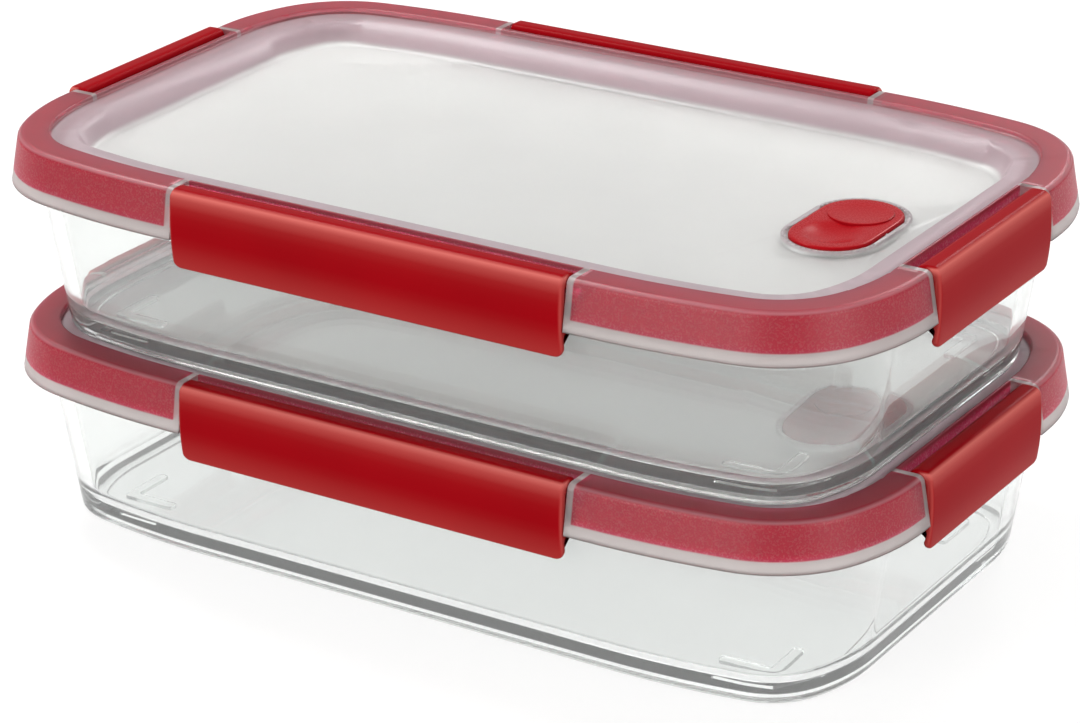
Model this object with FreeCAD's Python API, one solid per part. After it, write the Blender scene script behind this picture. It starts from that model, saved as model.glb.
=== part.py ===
import FreeCAD, Part
import math
import os

V = FreeCAD.Vector

# Two alike lunch boxes stand one on the other. X is the long way, Y the short way, Z up, and
# the origin is the middle of the lower dish's foot. Each box is drawn on one plan outline, and
# its cross-sections are given as (u, z): u is the distance outwards from that outline.

# Plan outline, which is the top edge of the lid's rim
LID_LENGTH = 290.0
LID_WIDTH = 180.0
CORNER_RADIUS = 34.0
LONG_SIDE_BEND = 10.0
SHORT_SIDE_BEND = 24.0

# Heights of one box
BOX_HEIGHT = 62.0
GLASS_TOP_DROP = 8.0

# Glass dish
FOOT_INSET = 11.5
SHOULDER_INSET = 4.9
GLASS_WALL = 4.3
GLASS_FLOOR = 4.6
HEEL_RADIUS = 2.2
HEEL_WIDTH = 6.5
FOOT_RECESS = 1.2
INNER_CORNER = 9.0
INNER_ROUND = 7.0
LIP_INSET = 1.4
LIP_ANGLE = 50.0
LIP_DROP = 13.8
LIP_LAND = 0.6
RIM_INSET = 2.4
RIM_WIDTH = 4.5
RIM_ROUND = 1.0
RIB_WIDTH = 3.2
RIB_ARM = 18.0
RIB_INSET = 31.0

# Lid
LID_WALL = 1.8
RIM_EDGE = 1.2
RIM_EDGE_ROUND = 2.2
SKIRT_FLARE = 3.8
SKIRT_HEIGHT = 14.8
RIM_INNER = 8.2
RIM_INNER_ROUND = 0.8
LEDGE_DROP = 1.8
LEDGE_INNER = 15.6
PANEL_DROP = 9.0
PANEL_INSET = 20.0
PANEL_ROUND = 3.0
CHANNEL_OUTER = 0.6
CHANNEL_INNER = 8.6
INNER_SKIRT_DROP = 9.6
INNER_SKIRT_WALL = 1.5

# Latch, its hinge and its notch in the rim
LONG_LATCH = 131.0
SHORT_LATCH = 71.0
LATCH_END_GAP = 0.4
CHEEK = 4.0
AXIS_INSET = 1.5
AXIS_DROP = 1.9
BARREL_RADIUS = 2.5
PIN_DIAMETER = 2.0
PIN_FIT = 0.05
PIN_SEAT = 3.2
PIN_END_GAP = 0.2
PIN_CHAMFER = 0.3
POCKET_INNER = 6.7
POCKET_DEPTH = 4.9
POCKET_FLOOR = 1.2
NOTCH_WALL_OUTER = 0.6
NOTCH_WALL_DROP = 13.2
LATCH_INNER_FACE = 1.1
LATCH_FACE = 3.9
LATCH_BOW_HEIGHT = 1.4
LATCH_FACE_RADIUS = 80.0
LATCH_RELIEF = 0.7
LATCH_RISE = 0.7
LATCH_DROP = 23.0
LATCH_CREST_ROUND = 1.4
LATCH_TOE_ROUND = 0.9
LATCH_CORNER = 3.0
LATCH_TOP_CORNER = 1.2
HOOK_GAP = 0.45
HOOK_GRIP = 1.2
HOOK_FOOT = 2.0

# Seal
SEAL_FIT = 0.1
SEAL_LEG = 1.0
SEAL_OUTER_DROP = 11.0
SEAL_INNER_DROP = 9.2
SEAL_GLASS_GAP = 0.1

# Vent
VENT_INSET = 43.0
VENT_LENGTH = 42.0
VENT_WIDTH = 25.0
VENT_GAP = 0.5
VENT_RISE = 2.2
VENT_THICKNESS = 3.0
VENT_EDGE = 0.8
VENT_DISC = 19.0
VENT_DISC_RISE = 0.5
VENT_DISH_DEPTH = 1.5
VENT_DISH_RADIUS = 26.0
VENT_WELL_DEPTH = 3.6
VENT_WELL_FLOOR = 1.5
COLLAR_WALL = 1.6
COLLAR_RISE = 1.5
VENT_PIN_DIAMETER = 1.6
VENT_PIN_DROP = 1.6
VENT_PIN_SEAT = 1.2
VENT_HOLE = 5.0
PLUG_DIAMETER = 10.0
PLUG_OFFSET = 11.0
PLUG_GAP = 0.1
PLUG_BEVEL = 1.0
PLUG_NECK = 5.0
PLUG_SEAT = 1.3

# Stack
STACK_GAP = 0.05

# Points nearer than this are one point
SAME_POINT = 1e-6

# Worked out from the sizes above
HALF_LENGTH = LID_LENGTH / 2
HALF_WIDTH = LID_WIDTH / 2
VENT_X = HALF_LENGTH - VENT_INSET
LONG_FLAT = LONG_LATCH / 2 + LATCH_END_GAP + CHEEK
SHORT_FLAT = SHORT_LATCH / 2 + LATCH_END_GAP + CHEEK
GLASS_TOP = BOX_HEIGHT - GLASS_TOP_DROP
LIP_Z = BOX_HEIGHT - LIP_DROP
LIP_SLOPE = math.tan(math.radians(LIP_ANGLE))
SHOULDER_Z = LIP_Z - (SHOULDER_INSET - LIP_INSET) * LIP_SLOPE
PANEL_Z = BOX_HEIGHT - PANEL_DROP
LEDGE_Z = BOX_HEIGHT - LEDGE_DROP
CROWN_INNER = RIM_INNER - LID_WALL
SKIRT_Z = BOX_HEIGHT - SKIRT_HEIGHT
POCKET_Z = BOX_HEIGHT - POCKET_DEPTH
AXIS_Z = BOX_HEIGHT - AXIS_DROP
WELL_Z = PANEL_Z - VENT_WELL_DEPTH
VENT_TOP = PANEL_Z + VENT_RISE
VENT_AXIS_Z = VENT_TOP - VENT_PIN_DROP
TIER_PITCH = LEDGE_Z + STACK_GAP


def solve_sides():
    """Radii of the long and short bowed sides that join the flats to the corners."""
    bend_l = math.radians(LONG_SIDE_BEND)
    bend_s = math.radians(SHORT_SIDE_BEND)
    a11 = math.sin(bend_l)
    a12 = 1 - math.cos(bend_s)
    a21 = 1 - math.cos(bend_l)
    a22 = math.sin(bend_s)
    run = HALF_LENGTH - LONG_FLAT - CORNER_RADIUS * (math.cos(bend_s) - math.sin(bend_l))
    rise = HALF_WIDTH - SHORT_FLAT - CORNER_RADIUS * (math.cos(bend_l) - math.sin(bend_s))
    det = a11 * a22 - a12 * a21
    return (run * a22 - rise * a12) / det, (rise * a11 - run * a21) / det


LONG_SIDE_RADIUS, SHORT_SIDE_RADIUS = solve_sides()


def plan_arcs():
    """The outline's twelve arcs, counter-clockwise from the right side: centre, radius, angles."""
    bend = math.radians(SHORT_SIDE_BEND)
    side = V(HALF_LENGTH - SHORT_SIDE_RADIUS, SHORT_FLAT, 0)
    reach = SHORT_SIDE_RADIUS - CORNER_RADIUS
    corner = side + V(reach * math.cos(bend), reach * math.sin(bend), 0)
    top = V(LONG_FLAT, HALF_WIDTH - LONG_SIDE_RADIUS, 0)
    quarter = [
        (side, SHORT_SIDE_RADIUS, 0, SHORT_SIDE_BEND),
        (corner, CORNER_RADIUS, SHORT_SIDE_BEND, 90 - LONG_SIDE_BEND),
        (top, LONG_SIDE_RADIUS, 90 - LONG_SIDE_BEND, 90),
    ]
    mirrored = [(V(-c.x, c.y, 0), r, 180 - t2, 180 - t1) for c, r, t1, t2 in reversed(quarter)]
    half = quarter + mirrored
    return half + [(V(-c.x, -c.y, 0), r, t1 + 180, t2 + 180) for c, r, t1, t2 in half]


ARCS = plan_arcs()


def on_arc(centre, radius, angle):
    """Point of an arc at an angle in degrees."""
    turn = math.radians(angle)
    return centre + V(radius * math.cos(turn), radius * math.sin(turn), 0)


def plan_face(u, z):
    """Flat face inside the outline moved outwards by u, at height z."""
    edges = []
    ends = []
    for centre, radius, start, stop in ARCS:
        grown = radius + u
        points = [on_arc(centre, grown, t) for t in (start, (start + stop) / 2, stop)]
        edges.append(Part.Arc(*points).toShape())
        ends.append((points[0], points[2]))
    for k, (first, last) in enumerate(ends):
        following = ends[(k + 1) % len(ends)][0]
        if last.distanceToPoint(following) > SAME_POINT:
            edges.append(Part.makeLine(last, following))
    wire = Part.Wire(Part.__sortEdges__(edges))
    face = Part.Face(wire)
    face.translate(V(0, 0, z))
    return face


def plan_plate(u, low, high):
    """Plate of the outline moved outwards by u, between two heights."""
    return plan_face(u, low).extrude(V(0, 0, high - low))


def section(points):
    """Flat face in the XZ plane from (u, z) points; a third value rounds that corner."""
    count = len(points)
    edges = []
    joints = []
    for k, point in enumerate(points):
        here = V(point[0], 0, point[1])
        radius = point[2] if len(point) > 2 else 0
        if not radius:
            joints.append((here, here))
            continue
        before = V(points[k - 1][0], 0, points[k - 1][1])
        after = V(points[(k + 1) % count][0], 0, points[(k + 1) % count][1])
        back = (before - here).normalize()
        ahead = (after - here).normalize()
        half = back.getAngle(ahead) / 2
        reach = radius / math.tan(half)
        middle = (back + ahead).normalize()
        centre = here + middle * (radius / math.sin(half))
        first = here + back * reach
        last = here + ahead * reach
        edges.append(Part.Arc(first, centre - middle * radius, last).toShape())
        joints.append((first, last))
    for k in range(count):
        start = joints[k][1]
        stop = joints[(k + 1) % count][0]
        if start.distanceToPoint(stop) > SAME_POINT:
            edges.append(Part.makeLine(start, stop))
    return Part.Face(Part.Wire(Part.__sortEdges__(edges)))


def ring(face):
    """Solid made by taking a (u, z) section once round the outline."""
    pieces = []
    for k, (centre, radius, start, stop) in enumerate(ARCS):
        slice_face = face.copy()
        slice_face.translate(V(radius, 0, 0))
        slice_face.rotate(V(0, 0, 0), V(0, 0, 1), start)
        slice_face.translate(centre)
        pieces.append(slice_face.revolve(centre, V(0, 0, 1), stop - start))
        following = ARCS[(k + 1) % len(ARCS)]
        here = on_arc(centre, radius, stop)
        there = on_arc(following[0], following[1], following[2])
        if here.distanceToPoint(there) > SAME_POINT:
            flat = face.copy()
            flat.rotate(V(0, 0, 0), V(0, 0, 1), stop)
            flat.translate(here)
            pieces.append(flat.extrude(there - here))
    return pieces[0].fuse(pieces[1:]).removeSplitter()


def along_side(face, half):
    """Solid of a (u, z) section along the middle of the front side, from -half to half."""
    turned = face.copy()
    turned.rotate(V(0, 0, 0), V(0, 0, 1), -90)
    turned.translate(V(-half, 0, 0))
    return turned.extrude(V(2 * half, 0, 0))


def box_section(u_low, u_high, z_low, z_high):
    """Rectangular (u, z) section."""
    return section([(u_low, z_low), (u_high, z_low), (u_high, z_high), (u_low, z_high)])


def on_side(shape, side):
    """Moves a shape drawn about the front side's middle to the named side's middle."""
    turn, reach = SIDES[side][1:]
    placed = shape.copy()
    placed.translate(V(0, -reach, 0))
    placed.rotate(V(0, 0, 0), V(0, 0, 1), turn)
    return placed


SIDES = {
    "front": (LONG_LATCH / 2, 0, HALF_WIDTH),
    "right": (SHORT_LATCH / 2, 90, HALF_LENGTH),
    "back": (LONG_LATCH / 2, 180, HALF_WIDTH),
    "left": (SHORT_LATCH / 2, 270, HALF_LENGTH),
}


def wall_at(z):
    """Outer face of the glass wall at height z, as u."""
    return -FOOT_INSET + (FOOT_INSET - SHOULDER_INSET) * z / SHOULDER_Z


def make_dish():
    """Pressed glass dish with a heel ring, a thick floor, a rim and a lip under the rim."""
    rim_inner = -RIM_INSET - RIM_WIDTH
    floor_edge = wall_at(GLASS_FLOOR) - GLASS_WALL - INNER_CORNER
    wall = section([
        (-FOOT_INSET, 0, HEEL_RADIUS),
        (-SHOULDER_INSET, SHOULDER_Z),
        (-LIP_INSET, LIP_Z),
        (-LIP_INSET, LIP_Z + LIP_LAND),
        (-RIM_INSET, LIP_Z + LIP_LAND + (RIM_INSET - LIP_INSET)),
        (-RIM_INSET, GLASS_TOP, RIM_ROUND),
        (rim_inner, GLASS_TOP, RIM_ROUND),
        (rim_inner, LIP_Z),
        (-SHOULDER_INSET - GLASS_WALL, SHOULDER_Z),
        (wall_at(GLASS_FLOOR) - GLASS_WALL, GLASS_FLOOR, INNER_ROUND),
        (floor_edge, GLASS_FLOOR),
        (floor_edge, FOOT_RECESS),
        (-FOOT_INSET - HEEL_RADIUS - HEEL_WIDTH, FOOT_RECESS),
        (-FOOT_INSET - HEEL_RADIUS - HEEL_WIDTH, 0),
    ])
    floor = plan_plate(floor_edge, FOOT_RECESS, GLASS_FLOOR)
    return ring(wall).fuse([floor] + floor_ribs()).removeSplitter()


def floor_ribs():
    """L-shaped ribs under the floor, one near each corner, level with the heel."""
    corner = V(HALF_LENGTH - RIB_INSET, HALF_WIDTH - RIB_INSET, 0)
    outline = section([
        (0, 0, RIB_WIDTH / 2),
        (-RIB_ARM, 0),
        (-RIB_ARM, -RIB_WIDTH),
        (-RIB_WIDTH, -RIB_WIDTH, RIB_WIDTH / 4),
        (-RIB_WIDTH, -RIB_ARM),
        (0, -RIB_ARM),
    ])
    outline.rotate(V(0, 0, 0), V(1, 0, 0), -90)
    outline.translate(corner)
    rib = outline.extrude(V(0, 0, FOOT_RECESS))
    pair = [rib, rib.mirror(V(0, 0, 0), V(1, 0, 0))]
    return pair + [piece.mirror(V(0, 0, 0), V(0, 1, 0)) for piece in pair]


def skirt_inner(z):
    """Inner face of the lid's flared skirt at height z, as u."""
    top = BOX_HEIGHT - LID_WALL
    return -CHANNEL_OUTER + (SKIRT_FLARE - LID_WALL + CHANNEL_OUTER) * (top - z) / (top - SKIRT_Z)


def lid_section():
    """Section of the lid from the skirt, over the rim and the ledge, to the panel's edge."""
    lean = PANEL_INSET - LEDGE_INNER
    return section([
        (skirt_inner(SKIRT_Z), SKIRT_Z),
        (SKIRT_FLARE, SKIRT_Z),
        (RIM_EDGE, BOX_HEIGHT, RIM_EDGE_ROUND),
        (-RIM_INNER, BOX_HEIGHT, RIM_INNER_ROUND),
        (-RIM_INNER, LEDGE_Z),
        (-LEDGE_INNER, LEDGE_Z),
        (-PANEL_INSET, PANEL_Z, PANEL_ROUND),
        (-PANEL_INSET - lean, PANEL_Z),
        (-PANEL_INSET - lean, PANEL_Z - LID_WALL),
        (-PANEL_INSET, PANEL_Z - LID_WALL),
        (-LEDGE_INNER + LID_WALL / 2, LEDGE_Z - LID_WALL),
        (-CHANNEL_INNER - INNER_SKIRT_WALL, LEDGE_Z - LID_WALL),
        (-CHANNEL_INNER - INNER_SKIRT_WALL, BOX_HEIGHT - INNER_SKIRT_DROP),
        (-CHANNEL_INNER, BOX_HEIGHT - INNER_SKIRT_DROP),
        (-CHANNEL_INNER, LEDGE_Z - LID_WALL),
        (-CROWN_INNER, LEDGE_Z - LID_WALL),
        (-CROWN_INNER, BOX_HEIGHT - LID_WALL),
        (-CHANNEL_OUTER, BOX_HEIGHT - LID_WALL),
    ])


def rim_fill():
    """Solid rim section above the pocket floor, used where the latch hinges are."""
    low = POCKET_Z - POCKET_FLOOR
    return section([
        (-CHANNEL_INNER, low),
        (skirt_inner(low) + LID_WALL, low),
        (RIM_EDGE, BOX_HEIGHT, RIM_EDGE_ROUND),
        (-CROWN_INNER, BOX_HEIGHT),
        (-CROWN_INNER, LEDGE_Z - LID_WALL),
        (-CHANNEL_INNER, LEDGE_Z - LID_WALL),
    ])


def notch_lid(lid, side):
    """Cuts one latch notch with its hinge pocket into the lid."""
    half = SIDES[side][0] + LATCH_END_GAP
    over = 2 * SKIRT_FLARE
    block = along_side(rim_fill(), half + CHEEK)
    wall = along_side(box_section(-CHANNEL_OUTER, NOTCH_WALL_OUTER,
                                  BOX_HEIGHT - NOTCH_WALL_DROP, POCKET_Z), half)
    pocket = along_side(box_section(-POCKET_INNER, over, POCKET_Z, BOX_HEIGHT + over), half)
    notch = along_side(box_section(NOTCH_WALL_OUTER, over, SKIRT_Z - over, BOX_HEIGHT), half)
    low_notch = along_side(box_section(-CHANNEL_OUTER, over, SKIRT_Z - over,
                                       BOX_HEIGHT - NOTCH_WALL_DROP), half)
    bore_half = half + PIN_SEAT + PIN_END_GAP
    bore = Part.makeCylinder(PIN_DIAMETER / 2 + PIN_FIT, 2 * bore_half,
                             V(-bore_half, AXIS_INSET, AXIS_Z), V(1, 0, 0))
    lid = lid.fuse([on_side(block, side), on_side(wall, side)])
    lid = lid.cut([on_side(tool, side) for tool in (pocket, notch, low_notch)])
    return lid.cut(on_side(bore, side))


def pill(length, width, low, high):
    """Upright pill-shaped block at the vent, long in Y."""
    reach = (length - width) / 2
    wide = Part.makeBox(width, 2 * reach, high - low, V(VENT_X - width / 2, -reach, low))
    ends = [Part.makeCylinder(width / 2, high - low, V(VENT_X, y, low)) for y in (-reach, reach)]
    return wide.fuse(ends).removeSplitter()


def make_lid():
    """Frosted lid with its rim channel, four latch notches, recessed panel and vent well."""
    edge = 2 * PANEL_INSET - LEDGE_INNER
    lid = ring(lid_section()).fuse(plan_plate(-edge, PANEL_Z - LID_WALL, PANEL_Z))
    for side in SIDES:
        lid = notch_lid(lid, side)
    gap = 2 * VENT_GAP
    shell = 2 * COLLAR_WALL
    collar = pill(VENT_LENGTH + gap + shell, VENT_WIDTH + gap + shell,
                  WELL_Z - VENT_WELL_FLOOR, PANEL_Z + COLLAR_RISE)
    well = pill(VENT_LENGTH + gap, VENT_WIDTH + gap, WELL_Z, VENT_TOP)
    under = V(VENT_X, PLUG_OFFSET, WELL_Z - VENT_WELL_DEPTH)
    hole = Part.makeCylinder(VENT_HOLE / 2, VENT_WELL_DEPTH, under)
    lid = lid.fuse(collar).cut([well, hole, vent_bar(VENT_PIN_DIAMETER / 2 + PIN_FIT)])
    return lid.removeSplitter()


def vent_bar(radius):
    """Cylinder along the vent's rocking axis, seated in both sides of its collar."""
    half = VENT_WIDTH / 2 + VENT_GAP + VENT_PIN_SEAT
    return Part.makeCylinder(radius, 2 * half, V(VENT_X - half, 0, VENT_AXIS_Z), V(1, 0, 0))


def make_seal():
    """Silicone seal that fills the rim channel, with a leg on each side of the glass rim."""
    top = BOX_HEIGHT - LID_WALL - SEAL_FIT
    outer = -CHANNEL_OUTER - SEAL_FIT
    inner = -CHANNEL_INNER + SEAL_FIT
    crown = GLASS_TOP + SEAL_GLASS_GAP
    seal = ring(section([
        (outer, BOX_HEIGHT - SEAL_OUTER_DROP),
        (outer, top),
        (-CROWN_INNER + SEAL_FIT, top),
        (-CROWN_INNER + SEAL_FIT, LEDGE_Z - LID_WALL - SEAL_FIT),
        (inner, LEDGE_Z - LID_WALL - SEAL_FIT),
        (inner, BOX_HEIGHT - SEAL_INNER_DROP),
        (inner + SEAL_LEG, BOX_HEIGHT - SEAL_INNER_DROP),
        (inner + SEAL_LEG, crown),
        (outer - SEAL_LEG, crown),
        (outer - SEAL_LEG, BOX_HEIGHT - SEAL_OUTER_DROP),
    ]))
    cuts = []
    for side, (half, _, _) in SIDES.items():
        room = along_side(box_section(-CHANNEL_INNER, CHANNEL_OUTER, POCKET_Z - POCKET_FLOOR - SEAL_FIT,
                                      BOX_HEIGHT), half + LATCH_END_GAP + CHEEK + SEAL_FIT)
        cuts.append(on_side(room, side))
    return seal.cut(cuts).removeSplitter()


def latch_section():
    """Section of a latch: crest, bowed face, toe, and the hook that grips under the glass lip."""
    lean = math.radians(LIP_ANGLE)
    top = BOX_HEIGHT + LATCH_RISE
    toe = BOX_HEIGHT - LATCH_DROP
    hook_u = -LIP_INSET + HOOK_GAP * math.sin(lean)
    hook_z = LIP_Z - HOOK_GAP * math.cos(lean)
    tip_u = -LIP_INSET - HOOK_GRIP
    tip_z = hook_z - (hook_u - tip_u) * LIP_SLOPE
    middle = (top + toe) / 2
    return section([
        (-AXIS_INSET, AXIS_Z + BARREL_RADIUS),
        (LATCH_FACE - LATCH_BOW_HEIGHT / 2, top, LATCH_CREST_ROUND),
        (LATCH_FACE + LATCH_BOW_HEIGHT / 2, middle, LATCH_FACE_RADIUS),
        (LATCH_FACE - LATCH_BOW_HEIGHT / 2, toe, LATCH_TOE_ROUND),
        (LATCH_INNER_FACE, toe, LATCH_TOE_ROUND),
        (LATCH_INNER_FACE + LATCH_RELIEF, (toe + tip_z - HOOK_FOOT) / 2, HOOK_FOOT),
        (LATCH_INNER_FACE, tip_z - HOOK_FOOT),
        (tip_u, tip_z - HOOK_GAP),
        (tip_u, tip_z),
        (hook_u, hook_z),
        (LATCH_INNER_FACE, hook_z),
        (LATCH_INNER_FACE, AXIS_Z - BARREL_RADIUS / 2, HOOK_GAP),
        (-AXIS_INSET, AXIS_Z - BARREL_RADIUS / 2),
    ])


def make_latch(half):
    """Latch with its bored hinge barrel and rounded corners."""
    centre = V(-half, AXIS_INSET, AXIS_Z)
    along = V(1, 0, 0)
    body = along_side(latch_section(), half)
    barrel = Part.makeCylinder(BARREL_RADIUS, 2 * half, centre, along)
    low = BOX_HEIGHT - LATCH_DROP
    front = section([
        (-half, low, LATCH_CORNER),
        (half, low, LATCH_CORNER),
        (half, BOX_HEIGHT + LATCH_RISE, LATCH_TOP_CORNER),
        (-half, BOX_HEIGHT + LATCH_RISE, LATCH_TOP_CORNER),
    ])
    depth = POCKET_INNER + LATCH_FACE + LATCH_BOW_HEIGHT
    front.translate(V(0, -LATCH_FACE - LATCH_BOW_HEIGHT, 0))
    blank = body.fuse(barrel).common(front.extrude(V(0, depth, 0)))
    bore = Part.makeCylinder(PIN_DIAMETER / 2 + PIN_FIT, 2 * half, centre, along)
    return blank.cut(bore).removeSplitter()


def make_pin(half):
    """Hinge pin with chamfered ends, seated in the cheeks at both ends of the notch."""
    reach = half + LATCH_END_GAP + PIN_SEAT
    outline = section([
        (-reach, 0),
        (-reach, PIN_DIAMETER / 2 - PIN_CHAMFER),
        (-reach + PIN_CHAMFER, PIN_DIAMETER / 2),
        (reach - PIN_CHAMFER, PIN_DIAMETER / 2),
        (reach, PIN_DIAMETER / 2 - PIN_CHAMFER),
        (reach, 0),
    ])
    pin = outline.revolve(V(0, 0, 0), V(1, 0, 0), 360)
    pin.translate(V(0, AXIS_INSET, AXIS_Z))
    return pin


def make_vent_button():
    """Pill-shaped rocker with a finger dish on its front half and a raised disc behind."""
    low = VENT_TOP - VENT_THICKNESS
    body = pill(VENT_LENGTH, VENT_WIDTH, low, VENT_TOP)
    body = body.makeChamfer(VENT_EDGE, [e for e in body.Edges if e.BoundBox.ZMin > VENT_TOP - SAME_POINT])
    reach = (VENT_LENGTH - VENT_WIDTH) / 2
    over = V(VENT_X, -reach, VENT_TOP - VENT_DISH_DEPTH + VENT_DISH_RADIUS)
    dish = Part.makeSphere(VENT_DISH_RADIUS, over)
    disc_foot = V(VENT_X, reach, VENT_TOP - VENT_EDGE)
    disc = Part.makeCylinder(VENT_DISC / 2, VENT_DISC_RISE + VENT_EDGE, disc_foot)
    seat = plug_neck(low + PLUG_SEAT)
    return body.cut(dish).fuse(disc).cut([vent_bar(VENT_PIN_DIAMETER / 2 + PIN_FIT), seat])


def plug_neck(top):
    """Neck of the plug from the foot of the button up to a height inside it."""
    low = VENT_TOP - VENT_THICKNESS
    return Part.makeCylinder(PLUG_NECK / 2, top - low, V(VENT_X, PLUG_OFFSET, low))


def make_vent_plug():
    """Soft stopper under the button's back half, with a bevelled foot over the steam hole."""
    low = WELL_Z + PLUG_GAP
    high = VENT_TOP - VENT_THICKNESS
    wide = PLUG_DIAMETER / 2
    foot = Part.makeCone(wide, wide - PLUG_BEVEL, high - low, V(VENT_X, PLUG_OFFSET, low))
    return foot.fuse(plug_neck(high + PLUG_SEAT)).removeSplitter()


def box_parts():
    """All the pieces of one box, by name, standing with its foot at height zero."""
    parts = {"dish": make_dish(), "lid": make_lid(), "seal": make_seal()}
    for side, (half, _, _) in SIDES.items():
        parts[side + "_latch"] = on_side(make_latch(half), side)
        parts[side + "_hinge_pin"] = on_side(make_pin(half), side)
    parts["vent_button"] = make_vent_button()
    parts["vent_pin"] = vent_bar(VENT_PIN_DIAMETER / 2)
    parts["vent_plug"] = make_vent_plug()
    return parts


os.makedirs("parts", exist_ok=True)
for name, shape in box_parts().items():
    for tier, lift in (("lower", 0), ("upper", TIER_PITCH)):
        placed = shape.copy()
        placed.translate(V(0, 0, lift))
        placed.exportStep("parts/" + tier + "_" + name + ".step")
        if tier == "lower":
            print(name, len(placed.Solids), placed.isValid(), round(placed.Volume, 1))
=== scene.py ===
"""Dresses a stack of two latched glass food boxes: pressed glass, frosted lids, red latches and vents."""

import logging
import math
from collections.abc import Callable
from dataclasses import dataclass, field
from enum import Enum

import bmesh
import bpy
from mathutils import Matrix, Vector


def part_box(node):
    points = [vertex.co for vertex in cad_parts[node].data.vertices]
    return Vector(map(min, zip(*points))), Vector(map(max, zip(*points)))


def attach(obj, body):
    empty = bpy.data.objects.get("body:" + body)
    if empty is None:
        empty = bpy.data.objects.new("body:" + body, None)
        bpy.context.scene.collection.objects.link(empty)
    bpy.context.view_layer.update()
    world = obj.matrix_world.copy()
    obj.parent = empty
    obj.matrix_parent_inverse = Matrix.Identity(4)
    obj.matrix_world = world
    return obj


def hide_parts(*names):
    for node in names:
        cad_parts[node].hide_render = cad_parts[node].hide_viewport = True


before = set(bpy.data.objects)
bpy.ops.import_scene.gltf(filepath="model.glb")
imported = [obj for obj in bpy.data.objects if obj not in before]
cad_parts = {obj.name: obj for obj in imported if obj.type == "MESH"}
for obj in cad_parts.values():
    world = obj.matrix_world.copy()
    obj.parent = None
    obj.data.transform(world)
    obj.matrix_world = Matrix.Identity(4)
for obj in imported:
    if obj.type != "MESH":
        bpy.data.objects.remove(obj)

LOG = logging.getLogger("food_boxes")
MM = 0.001
LID_TOP = 62.0  # height of a lid's top edge above its box's foot
SKIRT_FLARE = 3.8  # how far a lid's skirt stands outside its top edge
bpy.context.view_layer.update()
Points = list[Vector]
Pair = tuple[float, float]
Triple = tuple[float, float, float]
Section = list[Pair]
Walk = list[tuple[Vector, Vector]]
Piece = bpy.types.Object
Tree = bpy.types.NodeTree
Node = bpy.types.Node
Socket = bpy.types.NodeSocket
Colour = tuple[float, float, float, float]


class Tier(Enum):
    """The two boxes of the stack, by the word their nodes and bodies start with."""

    LOWER = "lower"
    UPPER = "upper"

    @property
    def foot(self) -> float:
        """Height of the box's foot in millimetres."""
        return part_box(f"{self.value}_dish")[0].z / MM


class Side(Enum):
    """The four latched sides, each with its turn about the upright axis in degrees."""

    FRONT = 0
    RIGHT = 90
    BACK = 180
    LEFT = 270

    @property
    def word(self) -> str:
        """The word that the side's nodes and bodies carry."""
        return self.name.lower()

    @property
    def is_long(self) -> bool:
        """True for the two sides with the longer latch."""
        return self in (Side.FRONT, Side.BACK)


def linear(code: str) -> Colour:
    """Turns an sRGB hex value into linear light.

    Args:
        code: Colour as "#RRGGBB".

    Returns:
        The linear red, green and blue values and full opacity.
    """
    parts = [int(code[k:k + 2], 16) / 255 for k in (1, 3, 5)]
    light = [c / 12.92 if c <= 0.04045 else ((c + 0.055) / 1.055) ** 2.4 for c in parts]
    return light[0], light[1], light[2], 1.0


def add_node(tree: Tree, kind: str, feeds: dict | None = None, **settings) -> Node:
    """Adds one node with its settings and links.

    Args:
        tree: Tree that gets the node.
        kind: Blender's name for the node type.
        feeds: Input name or number to a value or to the output that feeds it.
        settings: Properties of the node itself.

    Returns:
        The new node.
    """
    made = tree.nodes.new(kind)
    for key, value in settings.items():
        setattr(made, key, value)
    for key, value in (feeds or {}).items():
        if isinstance(value, Socket):
            tree.links.new(value, made.inputs[key])
        else:
            made.inputs[key].default_value = value
    return made


def metres(span: Pair) -> Pair:
    """Turns a pair of lengths in millimetres into metres."""
    return span[0] * MM, span[1] * MM


def ramp(tree: Tree, value: Socket, ends: Pair, gives: Pair = (0.0, 1.0), soft: bool = False) -> Socket:
    """Maps a value from one range to another and holds it there.

    Args:
        tree: Tree that gets the node.
        value: The value to map.
        ends: Where the range starts and stops.
        gives: What the start and the stop turn into.
        soft: Eases both ends.

    Returns:
        The mapped value.
    """
    feeds = {0: value, 1: ends[0], 2: ends[1], 3: gives[0], 4: gives[1]}
    shape = "SMOOTHSTEP" if soft else "LINEAR"
    return add_node(tree, "ShaderNodeMapRange", feeds, interpolation_type=shape).outputs[0]


def blend(tree: Tree, share: Socket, first: Socket | Colour, last: Socket | Colour) -> Socket:
    """Mixes two colours: all of the first at share 0 and all of the last at share 1."""
    feeds = {"Factor": share, 6: first, 7: last}
    return add_node(tree, "ShaderNodeMix", feeds, data_type="RGBA").outputs[2]


def reckon(tree: Tree, how: str, *terms: Socket | float, clamp: bool = False) -> Socket:
    """Does one sum with its terms in order, held from 0 to 1 if clamp is set."""
    feeds = dict(enumerate(terms))
    return add_node(tree, "ShaderNodeMath", feeds, operation=how, use_clamp=clamp).outputs[0]


def noise(tree: Tree, place: Socket, size: float, detail: float = 2.0, crisp: float = 0.5) -> Socket:
    """Draws noise whose features are about size millimetres across."""
    feeds = {"Vector": place, "Scale": 1 / (size * MM), "Detail": detail, "Roughness": crisp}
    return add_node(tree, "ShaderNodeTexNoise", feeds).outputs["Fac"]


def emboss(tree: Tree, shader: Node, height: Socket, depth: float, strength: float) -> None:
    """Gives the shader a relief, depth millimetres deep, from a height pattern."""
    bump = add_node(tree, "ShaderNodeBump", {"Height": height, "Strength": strength, "Distance": depth * MM})
    tree.links.new(bump.outputs["Normal"], shader.inputs["Normal"])


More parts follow.
